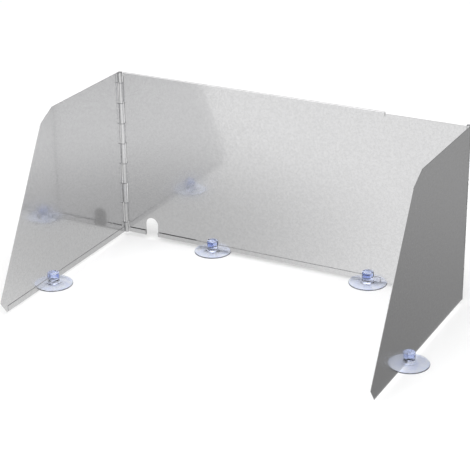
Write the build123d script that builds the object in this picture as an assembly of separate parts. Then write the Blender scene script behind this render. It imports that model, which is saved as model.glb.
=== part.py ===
"""Folding stove splash and wind shield: a telescoping sheet-metal back, two hinged wings, four suction cups.

Millimetres. +X runs along the back to the right, -Y points to the open front, +Z is up. The origin is on
the ground, under the centre of the whole object's box.
"""
from build123d import *
import os

# Panels
sheet = 0.6              # thickness of every panel
panel_height = 240.0     # of the back and of the wings at their hinges
panel_width = 508.6      # between the two hinge axes as the shield stands
leaf_length = 395.0      # of each back leaf, from its hinge axis to its free end
ground_gap = 5.0         # from the ground up to the panels' lower edges

# Channels of the outer back leaf, in which the inner leaf slides
leaf_gap = 0.3           # between the inner leaf and each channel wall
leaf_top_play = 1.9      # between the inner leaf's top and the top channel
top_lip = 5.7            # height of the top channel's lip
bottom_lip = 6.5         # height of the bottom channel's lip
bend_radius = 0.9        # outside radius of the channels' bends

# U notch for a hose or a cable
notch_width = 19.5
notch_height = 27.0
notch_from_hinge = 41.2  # from the left hinge axis to the notch's centre

# Wings
wing_length = 307.0      # from the hinge axis to the front tip
wing_top_length = 165.5  # straight part of the top edge
shoulder_length = 28.0   # chamfer after the top edge
shoulder_drop = 15.0
toe_length = 12.5        # chamfer at the front of the bottom edge
toe_height = 17.5
hem_height = 8.0         # closed hem along the bottom edge, on the inner face
hem_from_toe = 2.5       # from the toe chamfer back to the hem's end

# Hinges, rolled from the panels' own sheet
eye_count = 9            # along one hinge; the two end eyes are half as long as the others
eye_gap = 0.3            # between neighbouring eyes
eye_relief = 0.5         # between an eye and the other panel's cut-back edge
eye_seam = 0.4           # open seam where the roll ends
pin_radius = 2.3
pin_clearance = 0.06     # radial, between the pin and the eyes
pin_overhang = 0.5       # by which the pin stands out of the end eyes
pin_chamfer = 0.4

# Suction cups
cup_radius = 26.0
rim_height = 1.2
rim_width = 2.4          # flat ring on which the cup stands
bell_radius = 9.6        # where the bell meets the head
bell_height = 4.2
bell_flare = 0.8         # by which the bell's back sags below a straight cone
hollow_height = 1.9      # of the hollow under the bell
head_radius = 8.0
head_above_edge = 11.6   # from the panels' lower edge to the head's top
head_chamfer = 0.6
slot_clearance = 0.1     # on each side of the edge that the slot takes
seat_clearance = 0.1     # under that edge
cup_from_hinge = 140.3   # first back cup, from the left hinge axis
cup_from_leaf_end = 18.2  # second back cup, from the outer leaf's free end
wing_cup_from_hinge = 187.0

# Worked out from the sizes above. Each panel is drawn with its hinge on the Z axis, running along +X,
# its lower edge at height 0 and its outer face on the +Y side, tangent to the eyes.
eye_inner = pin_radius + pin_clearance
eye_outer = eye_inner + sheet
eye_pitch = panel_height / (eye_count - 1)
panel_start = eye_outer + eye_relief
channel_depth = 3 * sheet + 2 * leaf_gap
channel_front = eye_outer - channel_depth
hem_depth = 2 * sheet
leaf_step = sheet + leaf_gap
back_cup_y = eye_outer - channel_depth / 2
wing_cup_y = eye_outer - hem_depth / 2

# The hinge axes, placed so that the origin is under the centre of the whole object's box
left_axis_x = -panel_width / 2
right_axis_x = panel_width / 2
left_axis_y = (wing_length + leaf_step - back_cup_y - cup_radius) / 2
right_axis_y = left_axis_y - leaf_step


def block(x_span, y_span, z_span):
    """A box between two opposite corners."""
    spans = (x_span, y_span, z_span)
    lows = [low for low, high in spans]
    size = [high - low for low, high in spans]
    return Pos(*lows) * Box(*size, align=(Align.MIN, Align.MIN, Align.MIN))


def eye_rows(first):
    """Height spans of every second eye, starting with eye number first."""
    rows = []
    for number in range(first, eye_count, 2):
        low = max(0, (number - 0.5) * eye_pitch + eye_gap / 2)
        high = min(panel_height, (number + 0.5) * eye_pitch - eye_gap / 2)
        rows.append((low, high))
    return rows


WING_ROWS = eye_rows(0)
BACK_ROWS = eye_rows(1)


def rolled_eye(low, high):
    """An eye rolled round the Z axis, with an open seam beside the tail that joins it to its panel."""
    ring = Pos(0, 0, low) * extrude(Circle(eye_outer) - Circle(eye_inner), high - low)
    seam = block((0, eye_outer), (eye_inner - eye_seam, eye_inner), (low, high))
    tail = block((0, panel_start), (eye_inner, eye_outer), (low, high))
    return ring - seam + tail


def with_eyes(panel, rows):
    """The panel with its own eyes, which stand in the given rows."""
    for low, high in rows:
        panel = panel + rolled_eye(low, high)
    return panel


def notch_tool():
    """The U notch's shape, wider across than the outer leaf's channel."""
    radius = notch_width / 2
    straight = notch_height - radius
    across = channel_depth + 2 * sheet
    arch = extrude(Plane.XZ * Circle(radius), across / 2, both=True)
    centre = (channel_front + eye_outer) / 2
    legs = block((-radius, radius), (-across / 2, across / 2), (-notch_height, 0))
    return Pos(notch_from_hinge, centre, straight) * (arch + legs)


def make_outer_back_leaf():
    """Left back leaf: a web with a channel along its top and bottom, the hose notch and its eyes."""
    outside = block((panel_start, leaf_length), (channel_front, eye_outer), (0, panel_height))
    outside = fillet(outside.edges().filter_by(Axis.X), bend_radius)
    inside = block(
        (0, leaf_length), (channel_front + sheet, eye_inner), (sheet, panel_height - sheet)
    )
    inside = fillet(inside.edges().filter_by(Axis.X), bend_radius - sheet)
    mouth = block(
        (0, leaf_length),
        (channel_front - sheet, channel_front + 2 * sheet),
        (bottom_lip, panel_height - top_lip),
    )
    return with_eyes(outside - inside - mouth - notch_tool(), BACK_ROWS)


def make_inner_back_leaf():
    """Right back leaf: a flat web that fits between the channels, with its eyes."""
    low = sheet + leaf_gap
    high = panel_height - sheet - leaf_top_play
    web = block((panel_start, leaf_length), (eye_inner, eye_outer), (low, high))
    return with_eyes(web, BACK_ROWS)


def make_wing():
    """A wing: a flat panel with a sloping front, a closed hem along its bottom, and its eyes."""
    outline = Polyline(
        (panel_start, 0),
        (panel_start, panel_height),
        (wing_top_length, panel_height),
        (wing_top_length + shoulder_length, panel_height - shoulder_drop),
        (wing_length, toe_height),
        (wing_length - toe_length, 0),
        close=True,
    )
    web = Pos(0, eye_outer, 0) * extrude(Plane.XZ * make_face(outline), sheet)
    hem_end = wing_length - toe_length - hem_from_toe
    hem = block((panel_start, hem_end), (eye_outer - hem_depth, eye_inner), (0, hem_height))
    hem = fillet(hem.edges().filter_by(Axis.X).group_by(Axis.Y)[0], sheet / 2)
    return with_eyes(web + hem, WING_ROWS)


def make_hinge_pin():
    """A pin through all the eyes of one hinge."""
    length = panel_height + 2 * pin_overhang
    pin = Pos(0, 0, -pin_overhang) * extrude(Circle(pin_radius), length)
    return chamfer(pin.edges().filter_by(GeomType.CIRCLE), pin_chamfer)


def make_suction_cup(edge_depth):
    """A cup standing on the ground at the Z axis, whose head's slot runs along X."""
    head_top = ground_gap + head_above_edge
    back = SagittaArc((cup_radius, rim_height), (bell_radius, bell_height), bell_flare)
    top = Polyline((bell_radius, bell_height), (head_radius, bell_height), (head_radius, head_top))
    lid = Polyline((head_radius, head_top), (0, head_top), (0, hollow_height))
    hollow = SagittaArc((0, hollow_height), (cup_radius - rim_width, 0), hollow_height / 4)
    rim = Polyline((cup_radius - rim_width, 0), (cup_radius, 0), (cup_radius, rim_height))
    cup = revolve(Plane.XZ * make_face(back + top + lid + hollow + rim), Axis.Z)
    cup = chamfer(cup.edges().filter_by(GeomType.CIRCLE).sort_by(Axis.Z)[-1], head_chamfer)
    half_slot = edge_depth / 2 + slot_clearance
    slot = block(
        (-cup_radius, cup_radius), (-half_slot, half_slot), (ground_gap - seat_clearance, head_top + 1)
    )
    return cup - slot


def at_left_hinge(piece):
    """Move a piece drawn at the Z axis, with its lower edge at 0, to the left hinge."""
    return Pos(left_axis_x, left_axis_y, ground_gap) * piece


def at_right_hinge(piece):
    """Move a piece drawn at the Z axis, with its lower edge at 0, to the right hinge."""
    return Pos(right_axis_x, right_axis_y, ground_gap) * piece


def make_nodes():
    """Every named piece in its place."""
    wing = make_wing()
    pin = make_hinge_pin()
    turn = Rot(0, 0, -90)
    back_cup = make_suction_cup(channel_depth)
    wing_cup = turn * make_suction_cup(hem_depth)
    back_y = left_axis_y + back_cup_y
    second_cup = leaf_length - cup_from_leaf_end
    return {
        "outer_back_leaf": at_left_hinge(make_outer_back_leaf()),
        "inner_back_leaf": at_right_hinge(mirror(make_inner_back_leaf(), about=Plane.YZ)),
        "left_wing": at_left_hinge(turn * mirror(wing, about=Plane.XZ)),
        "right_wing": at_right_hinge(turn * wing),
        "left_hinge_pin": at_left_hinge(pin),
        "right_hinge_pin": at_right_hinge(pin),
        "back_left_suction_cup": Pos(left_axis_x + cup_from_hinge, back_y, 0) * back_cup,
        "back_right_suction_cup": Pos(left_axis_x + second_cup, back_y, 0) * back_cup,
        "left_wing_suction_cup": Pos(
            left_axis_x - wing_cup_y, left_axis_y - wing_cup_from_hinge, 0
        ) * wing_cup,
        "right_wing_suction_cup": Pos(
            right_axis_x + wing_cup_y, right_axis_y - wing_cup_from_hinge, 0
        ) * wing_cup,
    }


os.makedirs("parts", exist_ok=True)
for name, piece in make_nodes().items():
    piece.label = name
    export_step(piece, f"parts/{name}.step")
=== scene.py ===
"""Looks of a folding stove splash and wind shield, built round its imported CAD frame.

Every mesh is in metres in the frame's own axes: +X along the back to the right, -Y towards the open
front, +Z up. Sizes of the sheet metal and of the cups are in millimetres and turned into metres once.
"""

import logging
import math
from abc import ABC, abstractmethod
from collections.abc import Iterator
from contextlib import contextmanager
from dataclasses import dataclass, field
from enum import Enum
from typing import ClassVar

import bmesh
import bpy
from bmesh.types import BMesh
from bpy.types import ID, Material, Mesh, Node, NodeSocket, NodeTree, Object, bpy_prop_collection
from mathutils import Matrix, Vector

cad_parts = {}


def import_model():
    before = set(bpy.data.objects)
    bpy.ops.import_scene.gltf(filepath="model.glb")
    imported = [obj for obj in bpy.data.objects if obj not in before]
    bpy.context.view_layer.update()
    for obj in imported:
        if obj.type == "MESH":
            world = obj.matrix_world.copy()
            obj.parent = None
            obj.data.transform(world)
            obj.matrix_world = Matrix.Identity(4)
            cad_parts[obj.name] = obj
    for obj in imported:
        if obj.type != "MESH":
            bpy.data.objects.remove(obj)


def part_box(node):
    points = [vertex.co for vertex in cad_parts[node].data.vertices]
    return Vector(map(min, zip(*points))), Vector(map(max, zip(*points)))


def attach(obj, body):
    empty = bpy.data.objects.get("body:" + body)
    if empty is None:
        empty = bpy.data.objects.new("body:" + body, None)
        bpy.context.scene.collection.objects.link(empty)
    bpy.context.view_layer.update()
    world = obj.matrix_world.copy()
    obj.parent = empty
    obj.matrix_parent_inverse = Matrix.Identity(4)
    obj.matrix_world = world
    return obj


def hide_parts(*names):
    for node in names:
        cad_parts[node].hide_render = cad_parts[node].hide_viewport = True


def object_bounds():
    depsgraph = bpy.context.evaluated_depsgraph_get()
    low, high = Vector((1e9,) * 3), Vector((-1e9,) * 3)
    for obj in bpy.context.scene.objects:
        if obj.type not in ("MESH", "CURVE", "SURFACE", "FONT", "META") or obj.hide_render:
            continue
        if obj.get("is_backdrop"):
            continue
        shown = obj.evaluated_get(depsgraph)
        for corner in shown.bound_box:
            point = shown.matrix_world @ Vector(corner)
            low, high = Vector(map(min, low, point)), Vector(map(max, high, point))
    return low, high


MM = 0.001
LOG = logging.getLogger("stove_shield")

# Lengths in millimetres
ON_WEB = 1e-5         # a point this near the web's middle surface lies on it
SAME_POINT = 1e-4     # nearer points of a path are one point
SURFACE_WELD = 0.002  # between the patches of one middle surface
EYE_WELD = 0.003      # between a panel and its eyes
ON_AXIS = 1e-6        # a point of a turned profile with a smaller radius is a pole

SUPPORT_ROOM = 1.9    # support lengths that a side needs before it takes a support


class Side(Enum):
    """Which hinge and wing a piece belongs to. The value is the sign of X on that side."""

    LEFT = -1
    RIGHT = 1

    @property
    def word(self) -> str:
        """The side's word in the names of nodes and bodies."""
        return self.name.lower()


class Row(Enum):
    """Which eyes of a hinge a panel carries: the number of its first eye, counted from the bottom."""

    WING = 0
    BACK = 1


class Slot(Enum):
    """The material slots of a panel's mesh."""

    SHEET = 0
    EDGE = 1


# ---- Node trees and shared shader groups -----------------


@dataclass(frozen=True)
class Socket:
    """One input or output of a node group."""

    name: str
    kind: str = "NodeSocketFloat"
    default: float | tuple | None = None


class Tree:
    """A short way to place nodes in a node tree and wire them."""

    MIX_INPUTS: ClassVar[tuple] = (0, 6, 7)
    MIX_OUTPUT: ClassVar[int] = 2

    def __init__(self, tree: NodeTree) -> None:
        """Wrap a tree."""
        self.tree = tree

    def add(self, kind: str, settings: dict | None = None, **inputs: object) -> Node:
        """Add a node.

        Args:
            kind: the node's type name.
            settings: properties to set on the node before its sockets are used.
            **inputs: socket names, with _ for a space, and a value or an output to link.

        Returns:
            The new node.
        """
        node = self.tree.nodes.new(kind)
        for name, value in (settings or {}).items():
            setattr(node, name, value)
        for name, value in inputs.items():
            self.put(node.inputs[name.replace("_", " ")], value)
        return node

    def put(self, socket: NodeSocket, value: object) -> None:
        """Fill an input socket.

        Args:
            socket: the input.
            value: what it gets, or the output that it is linked to.
        """
        if isinstance(value, NodeSocket):
            self.tree.links.new(value, socket)
        else:
            socket.default_value = value

    def math(self, operation: str, *values: object) -> NodeSocket:
        """Add a Math node.

        Args:
            operation: what it works out.
            *values: its one, two or three values or outputs.

        Returns:
            Its result.
        """
        node = self.add("ShaderNodeMath", {"operation": operation})
        for socket, value in zip(node.inputs, values):
            self.put(socket, value)
        return node.outputs[0]

    def noise(self, scale: object, detail: float, where: NodeSocket) -> NodeSocket:
        """Add a noise texture and return its value."""
        return self.add("ShaderNodeTexNoise", Vector=where, Scale=scale, Detail=detail).outputs[0]

    def ramp(
        self, value: object, low: object, high: object, start: object = 0.0, end: object = 1.0
    ) -> NodeSocket:
        """Map a value smoothly from one span to another.

        Args:
            value: the value.
            low: where the first span begins.
            high: where it ends.
            start: the result at low and below.
            end: the result at high and above.

        Returns:
            The mapped value.
        """
        node = self.add(
            "ShaderNodeMapRange", {"interpolation_type": "SMOOTHSTEP"},
            Value=value, From_Min=low, From_Max=high, To_Min=start, To_Max=end,
        )
        return node.outputs[0]

    def mix(self, share: object, first: object, second: object) -> NodeSocket:
        """Mix two colours.

        Args:
            share: how much of the second colour there is, from 0 to 1.
            first: the first colour.
            second: the second colour.

        Returns:
            The mixed colour.
        """
        node = self.add("ShaderNodeMix", {"data_type": "RGBA"})
        for number, value in zip(self.MIX_INPUTS, (share, first, second)):
            self.put(node.inputs[number], value)
        return node.outputs[self.MIX_OUTPUT]

    def split(self, vector: object) -> bpy_prop_collection:
        """Split a vector and return its three outputs."""
        return self.add("ShaderNodeSeparateXYZ", Vector=vector).outputs

    def group(self, tree: NodeTree, where: NodeSocket, **values: float) -> bpy_prop_collection:
        """Place a shared group with its own values and return its outputs."""
        return self.add("ShaderNodeGroup", {"node_tree": tree}, Position=where, **values).outputs


def new_group(
    name: str, inputs: list[Socket], outputs: list[Socket], kind: str = "ShaderNodeTree"
) -> tuple[Tree, bpy_prop_collection, bpy_prop_collection]:
    """Make an empty node group with its interface.

    Args:
        name: the group's name.
        inputs: its input sockets.
        outputs: its output sockets.
        kind: the tree's type.

    Returns:
        The wrapped tree, the outputs of its input node and the inputs of its output node.
    """
    group = bpy.data.node_groups.new(name, kind)
    for direction, sockets in (("INPUT", inputs), ("OUTPUT", outputs)):
        for socket in sockets:
            made = group.interface.new_socket(socket.name, in_out=direction, socket_type=socket.kind)
            if socket.default is not None:
                made.default_value = socket.default
    given = group.nodes.new("NodeGroupInput").outputs
    return Tree(group), given, group.nodes.new("NodeGroupOutput").inputs


@dataclass
class SharedEffects:
    """The shader groups that more than one finish uses, each built once. Scales are per metre."""

    grain_scale: float = 420.0
    grain_share: float = 0.5
    grain_softness: float = 0.12
    mottle_ratio: float = 0.35
    mottle_span: tuple = (0.35, 0.65)
    wave_depth: float = 0.0002
    wave_scale: float = 5.0
    ripple_scale: float = 19.0
    ripple_share: float = 0.12
    wipe_stretch: tuple = (9.0, 9.0, 22.0)
    wipe_span: tuple = (0.5, 0.75)
    wipe_strength: float = 0.7
    dust_scale: float = 1400.0
    dust_span: tuple = (0.7, 0.78)
    dust_strength: float = 0.4

    def __post_init__(self) -> None:
        """Build the groups."""
        self.speckle = self._speckle()
        self.waviness = self._waviness()
        self.handling = self._handling()

    def _speckle(self) -> NodeTree:
        """Build the fine crystals of a zinc coat: a mask of duller grains and a soft mottle.

        Returns:
            The group.
        """
        tree, given, out = new_group(
            "fine_speckle",
            [Socket("Position", "NodeSocketVector"), Socket("Grain Scale", default=self.grain_scale),
             Socket("Share", default=self.grain_share)],
            [Socket("Grains"), Socket("Mottle")],
        )
        grain = tree.noise(given["Grain Scale"], detail=2.0, where=given["Position"])
        middle = tree.math("SUBTRACT", 1.0, given["Share"])
        low = tree.math("SUBTRACT", middle, self.grain_softness)
        high = tree.math("ADD", middle, self.grain_softness)
        tree.put(out["Grains"], tree.ramp(grain, low, high))
        coarse = tree.math("MULTIPLY", given["Grain Scale"], self.mottle_ratio)
        cells = tree.noise(coarse, detail=3.0, where=given["Position"])
        tree.put(out["Mottle"], tree.ramp(cells, *self.mottle_span))
        return tree.tree

    def _waviness(self) -> NodeTree:
        """Build the slow hollows and crowns of thin rolled sheet, as a height in metres.

        Returns:
            The group.
        """
        tree, given, out = new_group(
            "sheet_waviness",
            [Socket("Position", "NodeSocketVector"), Socket("Depth", default=self.wave_depth)],
            [Socket("Height")],
        )
        slow = tree.noise(self.wave_scale, detail=0.0, where=given["Position"])
        quick = tree.noise(self.ripple_scale, detail=1.0, where=given["Position"])
        both = tree.math("ADD", slow, tree.math("MULTIPLY", quick, self.ripple_share))
        tree.put(out["Height"], tree.math("MULTIPLY", both, given["Depth"]))
        return tree.tree

    def _handling(self) -> NodeTree:
        """Build soft wipe marks and a little dust, as a mask.

        Returns:
            The group.
        """
        tree, given, out = new_group(
            "handling_marks",
            [Socket("Position", "NodeSocketVector"), Socket("Amount", default=1.0)],
            [Socket("Marks")],
        )
        stretch = tree.add("ShaderNodeMapping", Vector=given["Position"], Scale=self.wipe_stretch)
        wipes = tree.noise(1.0, detail=4.0, where=stretch.outputs[0])
        dust = tree.noise(self.dust_scale, detail=1.0, where=given["Position"])
        both = tree.math(
            "ADD", tree.ramp(wipes, *self.wipe_span, 0.0, self.wipe_strength),
            tree.ramp(dust, *self.dust_span, 0.0, self.dust_strength),
        )
        tree.put(out["Marks"], tree.math("MULTIPLY", both, given["Amount"]))
        return tree.tree


# ---- Finishes --------------------------------------------


def start_material(name: str) -> tuple[Material, Tree, Node, NodeSocket]:
    """Make a material with an empty Principled shader.

    Args:
        name: the material's name.

    Returns:
        The material, its wrapped tree, the shader and the object coordinates.
    """
    material = bpy.data.materials.new(name)
    material.use_nodes = True
    material.node_tree.nodes.clear()
    tree = Tree(material.node_tree)
    shader = tree.add("ShaderNodeBsdfPrincipled")
    tree.add("ShaderNodeOutputMaterial", Surface=shader.outputs[0])
    where = tree.add("ShaderNodeTexCoord").outputs["Object"]
    return material, tree, shader, where


@dataclass(frozen=True)
class Finish(ABC):
    """What every finish has: a name, and a relief, the depth in metres of a pattern height of 1."""

    name: str
    relief: float
    relief_strength: float

    @abstractmethod
    def pattern(self, tree: Tree, where: NodeSocket, effects: SharedEffects) -> tuple:
        """Lay the finish's own pattern.

        Args:
            tree: the material's wrapped tree.
            where: the object coordinates.
            effects: the shared shader groups.

        Returns:
            The colour, the roughness and the relief's height.
        """

    def plain_values(self) -> dict[str, float]:
        """The shader's values that are the same all over: those of bare metal."""
        return {"Metallic": 1.0}

    def make(self, effects: SharedEffects) -> Material:
        """Build the material.

        Args:
            effects: the shared shader groups.

        Returns:
            The material.
        """
        material, tree, shader, where = start_material(self.name)
        colour, rough, height = self.pattern(tree, where, effects)
        tree.put(shader.inputs["Base Color"], colour)
        tree.put(shader.inputs["Roughness"], rough)
        for name, value in self.plain_values().items():
            shader.inputs[name].default_value = value
        depth, strength = self.relief, self.relief_strength
        bump = tree.add("ShaderNodeBump", Height=height, Distance=depth, Strength=strength)
        tree.put(shader.inputs["Normal"], bump.outputs[0])
        return material


@dataclass(frozen=True)
class BrightSheet(Finish):
    """Bright galvanised sheet, nearly a mirror, with duller grains that give it a haze."""

    name: str = "galvanised_sheet"
    relief: float = 1.0
    relief_strength: float = 1.0
    bright: tuple = (0.83, 0.83, 0.835, 1.0)
    dull: tuple = (0.745, 0.745, 0.75, 1.0)
    mottle_tone: float = 0.55
    grain_tone: float = 0.35
    mirror_roughness: float = 0.065
    grain_roughness: float = 0.21
    mark_roughness: float = 0.07
    grain_scale: float = 900.0
    grain_share: float = 0.5
    wave_depth: float = 0.00008

    def pattern(self, tree: Tree, where: NodeSocket, effects: SharedEffects) -> tuple:
        """Lay grains, a mottle, wipe marks and slow waves."""
        speckle = tree.group(effects.speckle, where, Grain_Scale=self.grain_scale, Share=self.grain_share)
        marks = tree.group(effects.handling, where)["Marks"]
        waves = tree.group(effects.waviness, where, Depth=self.wave_depth)["Height"]
        tone = tree.math("MULTIPLY", speckle["Mottle"], self.mottle_tone)
        tone = tree.math("ADD", tone, tree.math("MULTIPLY", speckle["Grains"], self.grain_tone))
        rough = tree.ramp(speckle["Grains"], 0.0, 1.0, self.mirror_roughness, self.grain_roughness)
        rough = tree.math("ADD", rough, tree.math("MULTIPLY", marks, self.mark_roughness))
        return tree.mix(tone, self.bright, self.dull), rough, waves


@dataclass(frozen=True)
class ShearedEdge(Finish):
    """The sheared rim of the sheet: bare steel with a fine torn grain. Its dark colours are also laid on
    strips of the web beside the other panel's eyes as painted shade.
    """

    name: str = "sheared_edge"
    relief: float = 0.00004
    relief_strength: float = 0.6
    bright: tuple = (0.30, 0.30, 0.305, 1.0)
    dark: tuple = (0.14, 0.14, 0.145, 1.0)
    tear_scale: float = 2600.0
    tear_span: tuple = (0.35, 0.7)
    roughness: float = 0.32
    mark_roughness: float = 0.2

    def pattern(self, tree: Tree, where: NodeSocket, effects: SharedEffects) -> tuple:
        """Lay the torn grain and wipe marks."""
        tears = tree.noise(self.tear_scale, detail=2.0, where=where)
        marks = tree.group(effects.handling, where)["Marks"]
        colour = tree.mix(tree.ramp(tears, *self.tear_span), self.bright, self.dark)
        return colour, tree.math("MULTIPLY_ADD", marks, self.mark_roughness, self.roughness), tears


@dataclass(frozen=True)
class DrawnWire(Finish):
    """The hinge pins' drawn wire, with faint rings round it."""

    name: str = "hinge_pin_steel"
    relief: float = 0.00002
    relief_strength: float = 0.5
    bright: tuple = (0.42, 0.42, 0.43, 1.0)
    dark: tuple = (0.24, 0.24, 0.25, 1.0)
    ring_stretch: tuple = (60.0, 60.0, 2400.0)
    roughness: float = 0.24
    ring_roughness: float = 0.12

    def pattern(self, tree: Tree, where: NodeSocket, effects: SharedEffects) -> tuple:
        """Lay the rings and a mottle."""
        along = tree.add("ShaderNodeMapping", Vector=where, Scale=self.ring_stretch).outputs[0]
        rings = tree.noise(1.0, detail=3.0, where=along)
        mottle = tree.group(effects.speckle, where)["Mottle"]
        tone = tree.math("MULTIPLY", tree.math("ADD", rings, mottle), 0.5)
        rough = tree.math("MULTIPLY_ADD", rings, self.ring_roughness, self.roughness)
        return tree.mix(tone, self.bright, self.dark), rough, rings


@dataclass(frozen=True)
class ClearVinyl(Finish):
    """Soft clear vinyl of the suction cups, pale blue where it is thin and bluer in the thick head."""

    name: str = "clear_vinyl"
    relief: float = 0.0002
    relief_strength: float = 0.35
    clear: tuple = (0.94, 0.96, 1.0, 1.0)
    tinted: tuple = (0.85, 0.885, 1.0, 1.0)
    deep: tuple = (0.62, 0.70, 1.0, 1.0)
    cloud_scale: float = 130.0
    cloud_span: tuple = (0.3, 0.7)
    thin_below: float = 0.004
    deep_above: float = 0.009
    roughness: float = 0.05
    mark_roughness: float = 0.10
    refraction: float = 1.42

    def plain_values(self) -> dict[str, float]:
        """The shader's values that are the same all over: those of a clear solid."""
        return {"Transmission Weight": 1.0, "IOR": self.refraction}

    def pattern(self, tree: Tree, where: NodeSocket, effects: SharedEffects) -> tuple:
        """Lay a faint cloud in the tint, a deeper tint in the head, and wipe marks."""
        cloud = tree.noise(self.cloud_scale, detail=2.0, where=where)
        marks = tree.group(effects.handling, where)["Marks"]
        thin = tree.mix(tree.ramp(cloud, *self.cloud_span), self.clear, self.tinted)
        thick = tree.ramp(tree.split(where)[2], self.thin_below, self.deep_above)
        rough = tree.math("MULTIPLY_ADD", marks, self.mark_roughness, self.roughness)
        return tree.mix(thick, thin, self.deep), rough, cloud


@dataclass(frozen=True)
class Finishes:
    """The materials of the object, made once."""

    sheet: Material
    edge: Material
    wire: Material
    vinyl: Material

    @classmethod
    def make(cls) -> "Finishes":
        """Build the shared groups and every finish from them."""
        effects = SharedEffects()
        kinds = (BrightSheet(), ShearedEdge(), DrawnWire(), ClearVinyl())
        return cls(*(kind.make(effects) for kind in kinds))


# ---- Mesh helpers ----------------------------------------


def rounded_path(
    points: list[tuple], radii: list[float], steps: int = 8, support: float = 0.0
) -> list[tuple]:
    """Round the corners of an open path in a plane.

    Args:
        points: the path's corners.
        radii: one radius for each inner corner; 0 keeps it sharp.
        steps: straight pieces in each rounded corner.
        support: length of a short straight piece added beside each rounding, or 0 for none.

    Returns:
        The points of the rounded path, without repeats.
    """
    path = [Vector(points[0])]
    for before, corner, after, radius in zip(points, points[1:], points[2:], radii):
        corner = Vector(corner)
        back, ahead = Vector(before) - corner, Vector(after) - corner
        room_back, room_ahead = back.length, ahead.length
        if radius <= 0:
            path.append(corner)
            continue
        back.normalize()
        ahead.normalize()
        half = back.angle(ahead) / 2
        reach = radius / math.tan(half)
        centre = corner + (back + ahead).normalized() * (radius / math.sin(half))
        start, end = corner + back * reach, corner + ahead * reach
        if support and room_back > reach + SUPPORT_ROOM * support:
            path.append(start + back * support)
        first, last = start - centre, end - centre
        turn = first.angle_signed(last)
        for step in range(steps + 1):
            angle = -turn * step / steps
            spot = Vector((first.x * math.cos(angle) - first.y * math.sin(angle),
                           first.x * math.sin(angle) + first.y * math.cos(angle)))
            path.append(centre + spot)
        if support and room_ahead > reach + SUPPORT_ROOM * support:
            path.append(end + ahead * support)
    path.append(Vector(points[-1]))
    kept = [path[0]]
    for point in path[1:]:
        if (point - kept[-1]).length > SAME_POINT:
            kept.append(point)
    return [tuple(point) for point in kept]


def sagging_arc(start: tuple, end: tuple, sag: float, steps: int) -> list[tuple]:
    """Lay points along a shallow arc.

    Args:
        start: its first point.
        end: its last point.
        sag: by how much its middle lies below the straight line, or above it if negative.
        steps: straight pieces in it.

    Returns:
        The points.
    """
    points = []
    for step in range(steps + 1):
        share = step / steps
        drop = 4 * sag * share * (1 - share)
        points.append((start[0] + (end[0] - start[0]) * share,
                       start[1] + (end[1] - start[1]) * share - drop))
    return points


@contextmanager
def edited(obj: Object) -> Iterator[BMesh]:
    """Open an object's mesh for editing and write it back at the end.

    Args:
        obj: the object.

    Yields:
        Its mesh, to be changed in place.
    """
    work = bmesh.new()
    work.from_mesh(obj.data)
    yield work
    work.to_mesh(obj.data)
    work.free()


def settle(obj: Object) -> None:
    """Make an object's modifiers part of its mesh.

    Args:
        obj: the object, which keeps no modifier.
    """
    graph = bpy.context.evaluated_depsgraph_get()
    mesh = bpy.data.meshes.new_from_object(obj.evaluated_get(graph), depsgraph=graph)
    old = obj.data
    obj.modifiers.clear()
    obj.data = mesh
    bpy.data.meshes.remove(old)


def linked(name: str, data: ID | None) -> Object:
    """Make an object of some data and put it in the scene."""
    obj = bpy.data.objects.new(name, data)
    bpy.context.scene.collection.objects.link(obj)
    return obj


def object_from(work: BMesh, name: str, materials: list) -> Object:
    """Turn a bmesh into a linked object and free the bmesh.

    Args:
        work: the mesh.
        name: the object's name.
        materials: its material slots.

    Returns:
        The new object, at the origin.
    """
    mesh = bpy.data.meshes.new(name)
    work.to_mesh(mesh)
    work.free()
    for material in materials:
        mesh.materials.append(material)
    return linked(name, mesh)


def discard(obj: Object) -> None:
    """Delete a working object and its mesh."""
    mesh = obj.data
    bpy.data.objects.remove(obj)
    bpy.data.meshes.remove(mesh)


def cut_away(obj: Object, tool: Object) -> None:
    """Cut a tool's shape out of an object.

    Args:
        obj: the object.
        tool: the tool, which is deleted.
    """
    cut = obj.modifiers.new("cut", "BOOLEAN")
    cut.operation = "DIFFERENCE"
    cut.solver = "EXACT"
    cut.object = tool
    settle(obj)
    discard(tool)


def prism(outline: list[tuple], low: float, high: float, place: Matrix, slot: int) -> Object:
    """Make a closed prism from an outline, for cutting.

    Args:
        outline: corners in millimetres, as (x, z).
        low: its lower end along y, in millimetres.
        high: its upper end along y.
        place: where it goes.
        slot: material slot number of its faces.

    Returns:
        The working object.
    """
    work = bmesh.new()
    near = [work.verts.new(place @ (Vector((x, low, z)) * MM)) for x, z in outline]
    far = [work.verts.new(place @ (Vector((x, high, z)) * MM)) for x, z in outline]
    work.faces.new(near)
    work.faces.new(list(reversed(far)))
    for index in range(len(outline)):
        after = (index + 1) % len(outline)
        work.faces.new((near[after], near[index], far[index], far[after]))
    bmesh.ops.recalc_face_normals(work, faces=work.faces[:])
    for face in work.faces:
        face.material_index = slot
    return object_from(work, "cutting_tool", [None] * (slot + 1))


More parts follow.
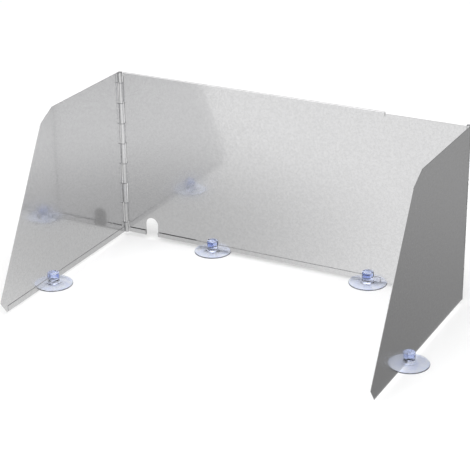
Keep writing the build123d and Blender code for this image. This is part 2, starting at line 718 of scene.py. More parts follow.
@dataclass(frozen=True)
class EdgeBreak:
    """How a piece's sharp edges are broken and shaded. Lengths in millimetres, angles in degrees.

    Edges shorter than the shortest length, and their neighbours, are left as they are.
    """

    width: float
    over_angle: float
    crisp_angle: float
    segments: int = 1
    shortest: float = 0.0

    def apply(self, obj: Object, place: Matrix) -> None:
        """Break a piece's edges, move its mesh to its place and finish its surface.

        Args:
            obj: the piece, a closed mesh.
            place: where its mesh goes.
        """
        with edited(obj) as work:
            short = {
                vert for edge in work.edges
                if edge.calc_length() < self.shortest * MM for vert in edge.verts
            }
            sharp = [
                edge for edge in work.edges
                if len(edge.link_faces) == 2
                and edge.calc_face_angle() > math.radians(self.over_angle)
                and not short.intersection(edge.verts)
            ]
            bmesh.ops.bevel(
                work, geom=sharp, offset=self.width * MM, segments=self.segments, profile=0.5,
                affect="EDGES", clamp_overlap=False, material=-1,
            )
            bmesh.ops.transform(work, matrix=place, verts=work.verts[:])
        finish_surface(obj, self.crisp_angle)


def finish_surface(obj: Object, crisp_angle: float) -> None:
    """Point every face outwards and shade the surface smooth.

    Args:
        obj: the piece.
        crisp_angle: edges that turn by more than this many degrees stay crisp.
    """
    with edited(obj) as work:
        bmesh.ops.recalc_face_normals(work, faces=work.faces[:])
        for face in work.faces:
            face.smooth = True
    obj.data.set_sharp_from_angle(angle=math.radians(crisp_angle))


def hand_over(obj: Object, body: str, node: str) -> None:
    """Args:
        obj: the piece.
        body: the body it rides on.
        node: the node it stands for.
    """
    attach(obj, body)
    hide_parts(node)
    LOG.info("%s: %d faces, rides on %s", obj.name, len(obj.data.polygons), body)


# ---- Hinge eyes, by Geometry Nodes -----------------------


@dataclass
class HingeEyes:
    """The rolled eyes that one panel carries along its hinge. Sizes in millimetres."""

    inner_radius: float = 2.36
    thickness: float = 0.6
    seam: float = 0.4
    count: int = 9
    gap: float = 0.7
    around: int = 44
    height: float = 240.0

    @property
    def middle_radius(self) -> float:
        """Radius of the roll's middle surface."""
        return self.inner_radius + self.thickness / 2

    @property
    def pitch(self) -> float:
        """Distance from one eye to the next along the hinge."""
        return self.height / (self.count - 1)

    @property
    def sweep(self) -> float:
        """Angle that the roll goes round, up to its open seam."""
        return 2 * math.pi - math.acos((self.inner_radius - self.seam) / self.middle_radius)

    def spans(self, row: Row) -> list[tuple]:
        """Work out where the eyes of a row stand.

        Args:
            row: which eyes.

        Returns:
            The height span of each eye.
        """
        spans = []
        for number in range(row.value, self.count, 2):
            low = max(0.0, (number - 0.5) * self.pitch + self.gap / 2)
            high = min(self.height, (number + 0.5) * self.pitch - self.gap / 2)
            spans.append((low, high))
        return spans

    @staticmethod
    def roll(tree: Tree, size: bpy_prop_collection) -> NodeSocket:
        """Bend a bar of unit height into one roll.

        Args:
            tree: the wrapped tree.
            size: the tree's inputs.

        Returns:
            The roll.
        """
        bar = tree.add("GeometryNodeMeshCube", Size=(1.0, 1.0, 1.0), Vertices_X=size["Around"])
        spot = tree.split(tree.add("GeometryNodeInputPosition").outputs[0])
        angle = tree.math("MULTIPLY", tree.math("SUBTRACT", 0.5, spot[0]), size["Sweep"])
        radius = tree.math("MULTIPLY_ADD", spot[1], size["Thickness"], size["Middle Radius"])
        bent = tree.add(
            "ShaderNodeCombineXYZ",
            X=tree.math("MULTIPLY", tree.math("SINE", angle), tree.math("MULTIPLY", radius, -1.0)),
            Y=tree.math("MULTIPLY", tree.math("COSINE", angle), radius),
            Z=tree.math("ADD", spot[2], 0.5),
        )
        roll = tree.add("GeometryNodeSetPosition", Geometry=bar.outputs[0], Position=bent.outputs[0])
        return roll.outputs[0]

    def tree(self) -> NodeTree:
        """Build the node tree: a roll, repeated along the hinge and given its finishes.

        Returns:
            The geometry node group.
        """
        kept = bpy.data.node_groups.get("hinge_eye_row")
        if kept:
            return kept
        sizes = ("Middle Radius", "Thickness", "Sweep", "Pitch", "Gap", "Height")
        inputs = [Socket(name) for name in sizes]
        inputs += [Socket(name, "NodeSocketInt") for name in ("First", "Eyes", "Around")]
        inputs += [Socket(name, "NodeSocketMaterial") for name in ("Sheet", "Edge")]
        tree, size, out = new_group(
            "hinge_eye_row", inputs, [Socket("Geometry", "NodeSocketGeometry")], "GeometryNodeTree"
        )
        index = tree.add("GeometryNodeInputIndex").outputs[0]
        number = tree.math("MULTIPLY_ADD", index, 2.0, size["First"])
        half_gap = tree.math("MULTIPLY", size["Gap"], 0.5)
        below = tree.math("MULTIPLY_ADD", tree.math("SUBTRACT", number, 0.5), size["Pitch"], half_gap)
        above = tree.math("MULTIPLY", tree.math("ADD", number, 0.5), size["Pitch"])
        low = tree.math("MAXIMUM", below, 0.0)
        high = tree.math("MINIMUM", tree.math("SUBTRACT", above, half_gap), size["Height"])
        foot = tree.add("ShaderNodeCombineXYZ", Z=low).outputs[0]
        places = tree.add("GeometryNodePoints", Count=size["Eyes"], Position=foot).outputs[0]
        stretch = tree.add("ShaderNodeCombineXYZ", X=1.0, Y=1.0, Z=tree.math("SUBTRACT", high, low))
        row = tree.add(
            "GeometryNodeInstanceOnPoints", Points=places, Instance=self.roll(tree, size),
            Scale=stretch.outputs[0],
        )
        solid = tree.add("GeometryNodeRealizeInstances", Geometry=row.outputs[0]).outputs[0]
        dressed = tree.add("GeometryNodeSetMaterial", Geometry=solid, Material=size["Sheet"]).outputs[0]
        upright = tree.split(tree.add("GeometryNodeInputNormal").outputs[0])[2]
        sheared = tree.math("GREATER_THAN", tree.math("ABSOLUTE", upright), 0.5)
        rims = tree.add(
            "GeometryNodeSetMaterial", Geometry=dressed, Selection=sheared, Material=size["Edge"]
        )
        tree.put(out[0], rims.outputs[0])
        return tree.tree

    def make(self, row: Row, finishes: Finishes) -> Mesh:
        """Build the eyes of one row as a plain mesh in the panel's drawing frame.

        Args:
            row: which eyes.
            finishes: the materials.

        Returns:
            The mesh, whose faces have a panel's slot numbers.
        """
        holder = object_from(bmesh.new(), "hinge_eyes", [])
        modifier = holder.modifiers.new("eyes", "NODES")
        modifier.node_group = self.tree()
        values = {
            "Middle Radius": self.middle_radius * MM, "Thickness": self.thickness * MM,
            "Sweep": self.sweep, "Pitch": self.pitch * MM, "Gap": self.gap * MM,
            "Height": self.height * MM, "First": row.value, "Eyes": len(self.spans(row)),
            "Around": self.around, "Sheet": finishes.sheet, "Edge": finishes.edge,
        }
        for item in modifier.node_group.interface.items_tree:
            if item.name in values and item.in_out == "INPUT":
                modifier[item.identifier] = values[item.name]
        settle(holder)
        mesh = holder.data.copy()
        discard(holder)
        for face in mesh.polygons:
            sheared = mesh.materials[face.material_index] == finishes.edge
            face.material_index = (Slot.EDGE if sheared else Slot.SHEET).value
        return mesh


# ---- Panels ----------------------------------------------


@dataclass
class SheetPanel(ABC):
    """What every panel has: sheet of one thickness, rolled into eyes along its hinge.

    A panel is drawn with its hinge on the Z axis, running along +X, its lower edge at height 0 and its
    outer face towards +Y, tangent to the eyes. Sizes in millimetres. A support is a short flat strip
    beside a roll that keeps the bend's shading off the web; beside a fold it is fold_support times that.
    """

    finishes: Finishes
    hinge: Vector
    height: float
    length: float
    thickness: float = 0.6
    fold_relief: float = 0.5
    web_start: float = 2.68
    web_slack: float = 0.01
    support: float = 0.5
    fold_support: float = 0.6
    even_wall: bool = True
    edges: EdgeBreak = EdgeBreak(width=0.07, over_angle=50.0, crisp_angle=30.0)
    row: Row = Row.BACK
    eyes: HingeEyes = field(default_factory=HingeEyes)

    def __post_init__(self) -> None:
        """Give the eyes the panel's height."""
        self.eyes.height = self.height

    @property
    @abstractmethod
    def node(self) -> str:
        """Name of the panel's node."""

    @property
    @abstractmethod
    def body(self) -> str:
        """Name of the body that the panel belongs to."""

    @property
    @abstractmethod
    def turn(self) -> Matrix:
        """How the panel is mirrored and turned about its hinge."""

    @property
    def web_y(self) -> float:
        """Where the web's middle surface lies."""
        return self.eyes.middle_radius

    @property
    def outer_y(self) -> float:
        """Where the panel's outer face lies."""
        return self.eyes.inner_radius + self.thickness

    @property
    def fold_start(self) -> float:
        """Where the channels or the hem begin, clear of the other panel's eyes."""
        return self.outer_y + self.fold_relief

    @abstractmethod
    def section(self) -> list[tuple]:
        """The folded section of the middle surface, as (y, z)."""

    @abstractmethod
    def lay_sheet(self, work: BMesh, section: list[tuple], web: list[float]) -> None:
        """Lay the panel's middle surface, apart from the tabs of its eyes.

        Args:
            work: the middle surface.
            section: the section, with a point at the ends of each eye.
            web: heights of the points in its flat web.
        """

    def shear(self, work: BMesh) -> None:
        """Shear the finished middle surface to its outline, where that isn't square."""

    def dress(self, panel: Object) -> None:
        """Cut and dress the solid panel, where it needs that."""

    def ready_section(self) -> list[tuple]:
        """Add a point to the section's web at each end of each eye.

        Returns:
            The section with those points.
        """
        stops = [z for span in self.eyes.spans(self.row) for z in span]
        path = self.section()
        result = [path[0]]
        for before, after in zip(path, path[1:]):
            if abs(before[0] - self.web_y) < ON_WEB and abs(after[0] - self.web_y) < ON_WEB:
                low, high = sorted((before[1], after[1]))
                inside = [z for z in stops if low + SAME_POINT < z < high - SAME_POINT]
                inside.sort(reverse=after[1] < before[1])
                result += [(self.web_y, z) for z in inside]
            result.append(after)
        return result

    def lay(self, work: BMesh, along: list[float], section: list[tuple]) -> None:
        """Lay a strip of the middle surface.

        Args:
            work: the middle surface.
            along: the places along x that the section is carried to.
            section: the section, as (y, z).
        """
        rows = [[work.verts.new(Vector((x, y, z)) * MM) for y, z in section] for x in along]
        for near, far in zip(rows, rows[1:]):
            for index in range(len(section) - 1):
                work.faces.new((near[index], far[index], far[index + 1], near[index + 1]))

    def lay_tabs(self, work: BMesh, web: list[float]) -> None:
        """Lay the flat tabs between the web and the rolls.

        Args:
            work: the middle surface.
            web: heights of the web's points along its hinge side.
        """
        for low, high in self.eyes.spans(self.row):
            self.lay(work, [0.0, self.support], [(self.web_y, low), (self.web_y, high)])
            inner = [z for z in sorted(web) if low + SAME_POINT < z < high - SAME_POINT]
            corners = [(self.support, low), (self.web_start, low)] + [(self.web_start, z) for z in inner]
            corners += [(self.web_start, high), (self.support, high)]
            work.faces.new([work.verts.new(Vector((x, self.web_y, z)) * MM) for x, z in corners])

    def solid(self, work: BMesh) -> Object:
        """Give the middle surface its thickness and join the eyes to it.

        Args:
            work: the middle surface.

        Returns:
            The closed panel, in its drawing frame.
        """
        bmesh.ops.remove_doubles(work, verts=work.verts[:], dist=SURFACE_WELD * MM)
        bmesh.ops.recalc_face_normals(work, faces=work.faces[:])
        obj = object_from(work, f"{self.node}_sheet", [self.finishes.sheet, self.finishes.edge])
        wall = obj.modifiers.new("wall", "SOLIDIFY")
        wall.thickness = self.thickness * MM
        wall.offset = 0.0
        wall.use_even_offset = self.even_wall
        wall.use_quality_normals = True
        wall.material_offset_rim = Slot.EDGE.value
        settle(obj)
        eyes = self.eyes.make(self.row, self.finishes)
        with edited(obj) as work:
            work.from_mesh(eyes)
            bpy.data.meshes.remove(eyes)
            bmesh.ops.remove_doubles(work, verts=work.verts[:], dist=EYE_WELD * MM)
            joints = [
                face for face in work.faces
                if all(abs(vert.co.x) < EYE_WELD * MM and vert.co.y > 0 for vert in face.verts)
            ]
            bmesh.ops.delete(work, geom=joints, context="FACES_ONLY")
            self.paint_crevice_shade(work)
        return obj

    def paint_crevice_shade(self, work: BMesh) -> None:
        """Paint shade on the web where it is cut back beside the other panel's eyes: the dark sheared-edge
        material laid on the flat web there is painted shade standing in for the crevice's shadow.

        Args:
            work: the panel's mesh.
        """
        spans = self.eyes.spans(self.row)
        for face in work.faces:
            middle = face.calc_center_median() / MM
            # Painted shade: strips of flat web beside the other panel's eyes get the dark edge material.
            beside = self.web_start - self.web_slack < middle.x < self.fold_start
            if beside and not any(low < middle.z < high for low, high in spans):
                face.material_index = Slot.EDGE.value

    def build(self) -> None:
        """Build the panel, put it at its hinge and hand it over."""
        section = self.ready_section()
        web = [z for y, z in section if abs(y - self.web_y) < ON_WEB]
        work = bmesh.new()
        self.lay_sheet(work, section, web)
        self.lay_tabs(work, web)
        self.shear(work)
        panel = self.solid(work)
        self.dress(panel)
        self.edges.apply(panel, Matrix.Translation(self.hinge) @ self.turn)
        hand_over(panel, self.body, self.node)


@dataclass
class OuterBackLeaf(SheetPanel):
    """The back's left leaf, with a channel along its top and bottom and a U notch for a hose."""

    node: ClassVar[str] = "outer_back_leaf"
    body: ClassVar[str] = "outer_leaf"
    turn: ClassVar[Matrix] = Matrix.Identity(4)
    leaf_gap: float = 0.3
    top_lip: float = 5.7
    bottom_lip: float = 6.5
    bend_radius: float = 0.9
    notch_width: float = 19.5
    notch_height: float = 27.0
    notch_from_hinge: float = 41.2
    notch_steps: int = 32
    cut_beyond: float = 1.0

    @property
    def channel_depth(self) -> float:
        """Depth of the channels over their outer faces."""
        return 3 * self.thickness + 2 * self.leaf_gap

    def section(self) -> list[tuple]:
        """The folded section from the top lip's edge to the bottom lip's edge."""
        half = self.thickness / 2
        lip_y = self.outer_y - self.channel_depth + half
        corners = [
            (lip_y, self.height - self.top_lip),
            (lip_y, self.height - half),
            (self.web_y, self.height - half),
            (self.web_y, half),
            (lip_y, half),
            (lip_y, self.bottom_lip),
        ]
        radii = [self.bend_radius - half] * 4
        return rounded_path(corners, radii, support=self.support * self.fold_support)

    def lay_sheet(self, work: BMesh, section: list[tuple], web: list[float]) -> None:
        """Lay the web and, a little further from the hinge, both channels."""
        top = next(index for index, (y, _) in enumerate(section) if abs(y - self.web_y) < ON_WEB)
        bottom = top + len(web) - 1
        self.lay(work, [self.web_start, self.fold_start, self.length], section[top:bottom + 1])
        self.lay(work, [self.fold_start, self.length], section[:top + 1])
        self.lay(work, [self.fold_start, self.length], section[bottom:])

    def dress(self, panel: Object) -> None:
        """Cut the hose notch out of the leaf.

        Args:
            panel: the solid leaf.
        """
        radius = self.notch_width / 2
        outline = [(self.notch_from_hinge - radius, -self.cut_beyond)]
        for step in range(self.notch_steps + 1):
            angle = math.pi * (1 - step / self.notch_steps)
            outline.append((self.notch_from_hinge + radius * math.cos(angle),
                            self.notch_height - radius + radius * math.sin(angle)))
        outline.append((self.notch_from_hinge + radius, -self.cut_beyond))
        near = self.outer_y - self.channel_depth - self.cut_beyond
        tool = prism(outline, near, self.outer_y + self.cut_beyond, Matrix.Identity(4), Slot.EDGE.value)
        cut_away(panel, tool)


@dataclass
class InnerBackLeaf(SheetPanel):
    """The back's right leaf, a flat web that slides in the outer leaf's channels."""

    node: ClassVar[str] = "inner_back_leaf"
    body: ClassVar[str] = "inner_leaf"
    turn: ClassVar[Matrix] = Matrix.Scale(-1, 4, (1, 0, 0))
    leaf_gap: float = 0.3
    top_play: float = 1.9

    def section(self) -> list[tuple]:
        """The flat section, from its lower edge to its upper edge."""
        low = self.thickness + self.leaf_gap
        return [(self.web_y, low), (self.web_y, self.height - self.thickness - self.top_play)]

    def lay_sheet(self, work: BMesh, section: list[tuple], web: list[float]) -> None:
        """Lay the flat web."""
        self.lay(work, [self.web_start, self.fold_start, self.length], section)


@dataclass
class Wing(SheetPanel):
    """A side wing with a sloping front and a closed hem along its bottom."""

    even_wall: bool = False
    edges: EdgeBreak = EdgeBreak(width=0.07, over_angle=50.0, crisp_angle=30.0, shortest=0.45)
    row: Row = Row.WING
    side: Side = Side.LEFT
    top_length: float = 165.5
    shoulder_length: float = 28.0
    shoulder_drop: float = 15.0
    toe_length: float = 12.5
    toe_height: float = 17.5
    hem_height: float = 8.0
    hem_from_toe: float = 2.5
    hem_gap: float = 0.05
    hem_steps: int = 6
    toe_relief: float = 0.3
    shear_weld: float = 0.001
    front_facing: float = 0.8

    @property
    def node(self) -> str:
        """Name of the wing's node."""
        return f"{self.side.word}_wing"

    @property
    def body(self) -> str:
        """Name of the wing's body."""
        return f"{self.side.word}_side"

    @property
    def turn(self) -> Matrix:
        """A quarter turn towards the front, with the left wing a mirror image of the right one."""
        turn = Matrix.Rotation(-math.pi / 2, 4, "Z")
        return turn @ Matrix.Scale(-1, 4, (0, 1, 0)) if self.side is Side.LEFT else turn

    @property
    def hem_end(self) -> float:
        """Where the hem ends, short of the toe."""
        return self.length - self.toe_length - self.hem_from_toe

    def section(self) -> list[tuple]:
        """The section from the top edge down and round the closed hem to its inner edge."""
        fold = (self.thickness + self.hem_gap) / 2
        half = self.thickness / 2
        hem_y = self.web_y - 2 * fold
        corners = [(self.web_y, self.height), (self.web_y, half), (hem_y, half), (hem_y, self.hem_height)]
        return rounded_path(corners, [fold, fold], self.hem_steps, self.support * self.fold_support)

    def lay_sheet(self, work: BMesh, section: list[tuple], web: list[float]) -> None:
        """Lay the web, the hem under it, and the plain lower edge of the toe."""
        flat = [(self.web_y, z) for z in web]
        toe_start = self.hem_end + self.toe_relief
        self.lay(work, [self.web_start, self.fold_start, self.hem_end, toe_start, self.length], flat)
        self.lay(work, [self.fold_start, self.hem_end], section[len(web) - 1:])
        self.lay(work, [toe_start, self.length], [flat[-1], (self.web_y, 0.0)])

    def shear(self, work: BMesh) -> None:
        """Shear the shoulder, the sloping front and the toe off the web.

        Args:
            work: the middle surface.
        """
        bmesh.ops.remove_doubles(work, verts=work.verts[:], dist=SURFACE_WELD * MM)
        corners = [
            (self.top_length, self.height),
            (self.top_length + self.shoulder_length, self.height - self.shoulder_drop),
            (self.length, self.toe_height),
            (self.length - self.toe_length, 0.0),
        ]
        for (x, z), (next_x, next_z) in zip(corners, corners[1:]):
            across = Vector((z - next_z, 0.0, next_x - x))
            geometry = work.verts[:] + work.edges[:] + work.faces[:]
            bmesh.ops.bisect_plane(
                work, geom=geometry, dist=self.shear_weld * MM, plane_co=Vector((x, self.web_y, z)) * MM,
                plane_no=across, clear_outer=True,
            )

    def dress(self, panel: Object) -> None:
        """Give the long sloping front edge the sheet's own finish, as it is dressed bright.

        Args:
            panel: the solid wing.
        """
        slope_start = (self.top_length + self.shoulder_length) * MM
        for face in panel.data.polygons:
            if face.normal.x > self.front_facing and face.center.x > slope_start:
                face.material_index = Slot.SHEET.value


# ---- Turned pieces ---------------------------------------


def turned(profile: list[tuple], segments: int) -> BMesh:
    """Turn a profile about the Z axis into a closed solid.

    Args:
        profile: (radius, height) points in millimetres, from one pole to the other, both at radius 0.
        segments: faces around.

    Returns:
        The mesh, in metres.
    """
    work = bmesh.new()
    rings = []
    for radius, height in profile:
        if radius < ON_AXIS:
            rings.append([work.verts.new(Vector((0, 0, height)) * MM)])
            continue
        ring = []
        for number in range(segments):
            angle = 2 * math.pi * number / segments
            spot = Vector((radius * math.cos(angle), radius * math.sin(angle), height))
            ring.append(work.verts.new(spot * MM))
        rings.append(ring)
    for lower, upper in zip(rings, rings[1:]):
        for number in range(segments):
            after = (number + 1) % segments
            corners = [lower[number % len(lower)], lower[after % len(lower)],
                       upper[after % len(upper)], upper[number % len(upper)]]
            work.faces.new(list(dict.fromkeys(corners)))
    bmesh.ops.recalc_face_normals(work, faces=work.faces[:])
    return work


def foot(node: str) -> Vector:
    """Find the middle of the lower face of a node's box."""
    low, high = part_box(node)
    return Vector(((low.x + high.x) / 2, (low.y + high.y) / 2, low.z))


@dataclass
class HingePin:
    """A wire pin through all the eyes of one hinge, with lightly peened ends. Sizes in millimetres."""

    finishes: Finishes
    side: Side
    radius: float = 2.3
    dome: float = 0.25
    rounding: float = 0.45
    crown_share: float = 0.55
    crown_drop: float = 0.25
    crown_rounding: float = 1.2
    rim_drop: float = 1.2
    end_length: float = 4.0
    end_steps: int = 6
    support: float = 0.2
    segments: int = 64
    crisp_angle: float = 50.0

    def build(self) -> None:
        """Build the pin and hand it over."""
        node = f"{self.side.word}_hinge_pin"
        low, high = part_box(node)
        length = (high.z - low.z) / MM
        crown = (self.radius - self.rounding) * self.crown_share
        corners = [(0.0, 0.0), (crown, self.dome * self.crown_drop),
                   (self.radius, self.dome * self.rim_drop), (self.radius, self.end_length)]
        end = rounded_path(corners, [self.crown_rounding, self.rounding], self.end_steps, self.support)
        profile = end + [(radius, length - height) for radius, height in reversed(end)]
        work = turned(profile, self.segments)
        bmesh.ops.translate(work, vec=foot(node), verts=work.verts[:])
        pin = object_from(work, f"{node}_wire", [self.finishes.wire])
        finish_surface(pin, self.crisp_angle)
        hand_over(pin, "outer_leaf" if self.side is Side.LEFT else "inner_leaf", node)


@dataclass
class SuctionCup:
    """A clear cup whose slotted head grips the lower edge of a panel. Sizes in millimetres.

    The bell's back begins at its point number bell_start, where the rounded rim's land ends.
    """

    finishes: Finishes
    name: str
    edge_depth: float
    along_x: bool
    radius: float = 26.0
    rim_height: float = 1.2
    rim_width: float = 2.4
    rim_land: tuple = (1.6, 1.25)
    rim_radii: tuple = (0.25, 0.5)
    rim_steps: int = 5
    bell_radius: float = 9.6
    bell_height: float = 4.2
    bell_flare: float = 0.8
    bell_steps: int = 16
    bell_start: int = 2
    neck_step: float = 0.15
    hollow_height: float = 1.9
    hollow_steps: int = 10
    head_radius: float = 8.0
    head_top: float = 16.6
    head_rounding: float = 0.7
    head_steps: int = 6
    slot_clearance: float = 0.1
    slot_floor: float = 4.9
    cut_beyond: float = 1.0
    segments: int = 112
    edges: EdgeBreak = EdgeBreak(width=0.22, over_angle=40.0, crisp_angle=35.0, segments=2)

    def profile(self) -> list[tuple]:
        """Draw the cup's section from under its middle, round the rim and up to the head's top.

        Returns:
            The section, as (radius, height).
        """
        inner_rim = (self.radius - self.rim_width, 0.0)
        rise = self.hollow_height / 4
        hollow = sagging_arc((0.0, self.hollow_height), inner_rim, -rise, self.hollow_steps)
        land, land_height = self.rim_land
        corners = [hollow[-1], (self.radius, 0.0), (self.radius, self.rim_height),
                   (self.radius - land, land_height)]
        rim = rounded_path(corners, list(self.rim_radii), self.rim_steps)
        bell_foot, bell_top = (self.radius, self.rim_height), (self.bell_radius, self.bell_height)
        back = sagging_arc(bell_foot, bell_top, self.bell_flare, self.bell_steps)[self.bell_start:]
        corners = [back[-1], (self.head_radius, self.bell_height + self.neck_step),
                   (self.head_radius, self.head_top), (0.0, self.head_top)]
        head = rounded_path(corners, [self.head_rounding] * 2, self.head_steps)
        return hollow[:-1] + rim[:-1] + back[:-1] + head

    def build(self) -> None:
        """Build the cup and hand it over."""
        node = f"{self.name}_suction_cup"
        cup = turned(self.profile(), self.segments)
        cup = object_from(cup, f"{self.name}_cup_vinyl", [self.finishes.vinyl])
        half = self.edge_depth / 2 + self.slot_clearance
        above = self.head_top + self.cut_beyond
        slot = [(-half, self.slot_floor), (half, self.slot_floor), (half, above), (-half, above)]
        turn = Matrix.Rotation(math.pi / 2, 4, "Z") if self.along_x else Matrix.Identity(4)
        cut_away(cup, prism(slot, -self.radius, self.radius, turn, slot=0))
        self.edges.apply(cup, Matrix.Translation(foot(node)))
        cup.visible_shadow = False
        hand_over(cup, f"{self.name}_cup", node)


# ---- Studio ----------------------------------------------


@dataclass(frozen=True)
class Softbox:
    """A square soft light that faces the object, placed from the object's middle. Power in watts."""

    name: str
    offset: tuple
    size: float
    power: float

    def hang(self, centre: Vector) -> None:
        """Hang the light.

        Args:
            centre: the object's middle.
        """
        data = bpy.data.lights.new(self.name, "AREA")
        data.shape = "SQUARE"
        data.size = self.size
        data.energy = self.power
        lamp = linked(self.name, data)
        lamp.location = centre + Vector(self.offset)
        lamp.rotation_mode = "QUATERNION"
        lamp.rotation_quaternion = (-Vector(self.offset)).to_track_quat("-Z", "Y")


@dataclass(frozen=True)
class PaintedShadeCard:
    """A glowing card just above the floor, seen only in reflections, that paints the floor's shade into what
    the object reflects. Lengths in metres.

    It is pale, with painted shade darker near the back's left corner, and a painted shadow in a darker tone
    beside and behind the object. The painted shadow begins under the panel, a little before the object's box
    ends, and fades out further off.
    """

    low: Vector
    high: Vector
    size: float = 3.0
    under: float = 0.00005
    # Painted shade: the card's tone near the back's left corner and far from it.
    pale: tuple = (0.58, 0.90)
    pale_reach: tuple = (0.12, 0.5)
    # Painted shadow: the card's darker tone beside and behind the object, near the panels and far off.
    painted_shadow_tone: tuple = (0.235, 0.34)
    painted_shadow_reach: float = 0.45
    beside_start: tuple = (0.024, 0.02)
    beside_fade: tuple = (0.45, 0.75)
    behind_start: tuple = (0.022, 0.018)
    behind_fade: tuple = (0.6, 0.9)

    @staticmethod
    def mask(tree: Tree, place: object, edge: float, start: tuple, fade: tuple) -> NodeSocket:
        """Mask what lies beyond one side of the object's box, where the painted shadow goes.

        Args:
            tree: the wrapped tree.
            place: the coordinate across that side.
            edge: where the box ends.
            start: how far before the edge the mask begins and is full.
            fade: how far beyond it the mask begins to fade and is gone.

        Returns:
            The mask.
        """
        near = tree.ramp(place, edge - start[0], edge - start[1])
        return tree.math("MULTIPLY", near, tree.ramp(place, edge + fade[0], edge + fade[1], 1.0, 0.0))

    def lay(self) -> None:
        """Make the card, whose glow is painted floor shade and shadow, and stage it."""
        material = bpy.data.materials.new("painted_floor_shade_card")
        material.use_nodes = True
        material.node_tree.nodes.clear()
        tree = Tree(material.node_tree)
        x, y, _ = tree.split(tree.add("ShaderNodeTexCoord").outputs["Object"])
        across = tree.math("SUBTRACT", x, self.low.x)
        along = tree.math("SUBTRACT", y, self.high.y)
        reach = tree.math("MULTIPLY_ADD", across, across, tree.math("MULTIPLY", along, along))
        # Painted shade, darker near the back's left corner.
        pale = tree.ramp(tree.math("SQRT", reach), *self.pale_reach, *self.pale)
        # Painted shadow tone beside and behind the object.
        painted_shadow_tone = tree.ramp(y, self.low.y, self.high.y + self.painted_shadow_reach, *self.painted_shadow_tone)
        beside = self.mask(tree, x, self.high.x, self.beside_start, self.beside_fade)
        behind = self.mask(tree, y, self.high.y, self.behind_start, self.behind_fade)
        # Where the painted shadow lies.
        dark = tree.math("MAXIMUM", beside, behind)
        tone = tree.math("MULTIPLY_ADD", dark, tree.math("SUBTRACT", painted_shadow_tone, pale), pale)
        # The card glows with the painted shade and shadow; it is no lamp.
        light = tree.add("ShaderNodeEmission", Strength=tone)
        tree.add("ShaderNodeOutputMaterial", Surface=light.outputs[0])
        card = ground_sheet("painted_floor_shade_card", self.size, self.low.z - self.under, material)
        card.visible_camera = False
        card.visible_diffuse = False
        card.visible_transmission = False
        card.visible_shadow = False
        card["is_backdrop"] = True


def ground_sheet(name: str, size: float, height: float, material: Material) -> Object:
    """Make a square level sheet round the origin.

    Args:
        name: the object's name.
        size: half the length of its side.
        height: how high it lies.
        material: its material.

    Returns:
        The object.
    """
    work = bmesh.new()
    bmesh.ops.create_grid(work, x_segments=1, y_segments=1, size=size)
    bmesh.ops.translate(work, vec=(0, 0, height), verts=work.verts[:])
    return object_from(work, name, [material])


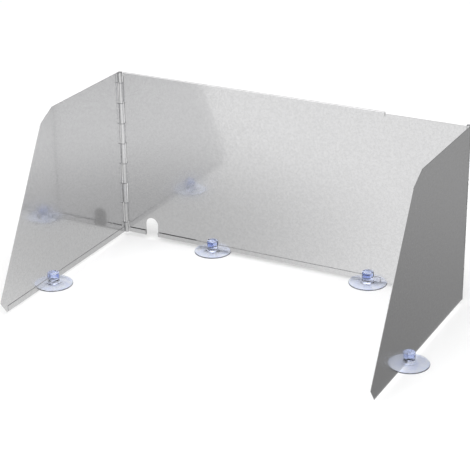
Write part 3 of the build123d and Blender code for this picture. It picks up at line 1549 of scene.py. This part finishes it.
@dataclass
class Studio:
    """A pale floor, soft lights and the camera. Lengths in metres, angles in degrees."""

    low: Vector
    high: Vector
    camera_offset: tuple = (0.8416, -1.5960, 0.7659)
    yaw: float = 27.90
    pitch: float = 23.55
    roll: float = -0.79
    lens: float = 117.95
    sensor: float = 36.0
    clip: tuple = (0.05, 60.0)
    floor_size: float = 12.0
    floor_under: float = 0.00015
    floor_tone: float = 0.96
    floor_mottle: float = 0.02
    mottle_scale: float = 3.0
    mottle_span: tuple = (0.3, 0.7)
    floor_roughness: float = 0.9
    floor_gloss: float = 0.1
    sky_tone: float = 1.16
    horizon_tone: float = 0.70
    sky_span: tuple = (0.05, 0.75)
    behind_share: float = 0.12
    behind_span: tuple = (0.1, 0.8)
    softboxes: tuple = (
        Softbox("key_softbox", offset=(-0.4, -0.8, 2.6), size=2.6, power=19.5),
        Softbox("fill_softbox", offset=(0.7, 0.3, 2.4), size=2.0, power=11.0),
        Softbox("side_softbox", offset=(1.7, -0.5, 1.9), size=1.4, power=6.0),
    )

    @property
    def centre(self) -> Vector:
        """Middle of the object's box."""
        return (self.low + self.high) / 2

    def floor(self) -> None:
        """Lay a wide pale floor just under the cups."""
        material, tree, shader, where = start_material("pale_floor")
        mottle = tree.noise(self.mottle_scale, detail=2.0, where=where)
        tone = tree.ramp(mottle, *self.mottle_span, self.floor_tone, self.floor_tone + self.floor_mottle)
        colour = tree.add("ShaderNodeCombineColor", Red=tone, Green=tone, Blue=tone).outputs[0]
        tree.put(shader.inputs["Base Color"], colour)
        shader.inputs["Roughness"].default_value = self.floor_roughness
        shader.inputs["Specular IOR Level"].default_value = self.floor_gloss
        ground_sheet("floor", self.floor_size, self.low.z - self.floor_under, material)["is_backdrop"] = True

    def sky(self) -> None:
        """Set up a pale surround, darker towards the horizon and much darker behind the object."""
        world = bpy.data.worlds.new("pale_surround")
        bpy.context.scene.world = world
        world.use_nodes = True
        world.node_tree.nodes.clear()
        tree = Tree(world.node_tree)
        _, depth, height = tree.split(tree.add("ShaderNodeTexCoord").outputs["Generated"])
        tone = tree.ramp(height, *self.sky_span, self.horizon_tone, self.sky_tone)
        tone = tree.math("MULTIPLY", tone, tree.ramp(depth, *self.behind_span, 1.0, self.behind_share))
        glow = tree.add("ShaderNodeBackground", Color=(1.0, 1.0, 1.0, 1.0), Strength=tone)
        tree.add("ShaderNodeOutputWorld", Surface=glow.outputs[0])

    def camera(self) -> None:
        """Place the camera from its turn, tilt and roll."""
        yaw, pitch, roll = (math.radians(angle) for angle in (self.yaw, self.pitch, self.roll))
        reach = math.cos(pitch)
        ahead = Vector((-math.sin(yaw) * reach, math.cos(yaw) * reach, -math.sin(pitch)))
        level = Vector((math.cos(yaw), math.sin(yaw), 0.0))
        upright = level.cross(ahead)
        right = level * math.cos(roll) + upright * math.sin(roll)
        up = upright * math.cos(roll) - level * math.sin(roll)
        data = bpy.data.cameras.new("camera")
        data.sensor_width = self.sensor
        data.lens = self.lens
        data.clip_start, data.clip_end = self.clip
        camera = linked("camera", data)
        turn = Matrix((right, up, -ahead)).transposed().to_4x4()
        camera.matrix_world = Matrix.Translation(self.centre + Vector(self.camera_offset)) @ turn
        bpy.context.scene.camera = camera

    def build(self) -> None:
        """Set up the whole studio."""
        self.floor()
        PaintedShadeCard(self.low, self.high).lay()
        self.sky()
        for softbox in self.softboxes:
            softbox.hang(self.centre)
        self.camera()
        view = bpy.context.scene.view_settings
        view.view_transform = "Standard"
        view.look = "None"
        LOG.info("studio: floor, card, surround, %d softboxes and the camera", len(self.softboxes))


# ---- The whole object ------------------------------------


@dataclass
class StoveShield:
    """The whole shield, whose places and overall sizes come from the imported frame."""

    finishes: Finishes
    pin_overhang: float = 0.5

    def hinge(self, side: Side) -> Vector:
        """Find where a hinge's axis meets the height of the panels' lower edges."""
        return foot(f"{side.word}_hinge_pin") + Vector((0.0, 0.0, self.pin_overhang * MM))

    def height(self) -> float:
        """Work out the height of the panels at their hinges, in millimetres."""
        low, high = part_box("left_hinge_pin")
        return (high.z - low.z) / MM - 2 * self.pin_overhang

    def build(self) -> None:
        """Build every sub-assembly in order."""
        left, right = self.hinge(Side.LEFT), self.hinge(Side.RIGHT)
        height = self.height()
        outer_length = (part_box("outer_back_leaf")[1].x - left.x) / MM
        inner_length = (right.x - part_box("inner_back_leaf")[0].x) / MM
        outer = OuterBackLeaf(self.finishes, left, height, outer_length)
        outer.build()
        InnerBackLeaf(self.finishes, right, height, inner_length).build()
        for side, hinge in ((Side.LEFT, left), (Side.RIGHT, right)):
            length = (hinge.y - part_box(f"{side.word}_wing")[0].y) / MM
            Wing(self.finishes, hinge, height, length, side=side).build()
            HingePin(self.finishes, side).build()
        for name, depth, along_x in (
            ("back_left", outer.channel_depth, True),
            ("back_right", outer.channel_depth, True),
            ("left_wing", 2 * outer.thickness, False),
            ("right_wing", 2 * outer.thickness, False),
        ):
            SuctionCup(self.finishes, name, depth, along_x).build()


def main() -> None:
    """Build the object round its frame and set up the studio round the frame's box."""
    logging.basicConfig(level=logging.INFO, format="%(name)s: %(message)s")
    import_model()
    cad_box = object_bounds()
    StoveShield(Finishes.make()).build()
    Studio(*cad_box).build()


if __name__ == "__main__":
    main()
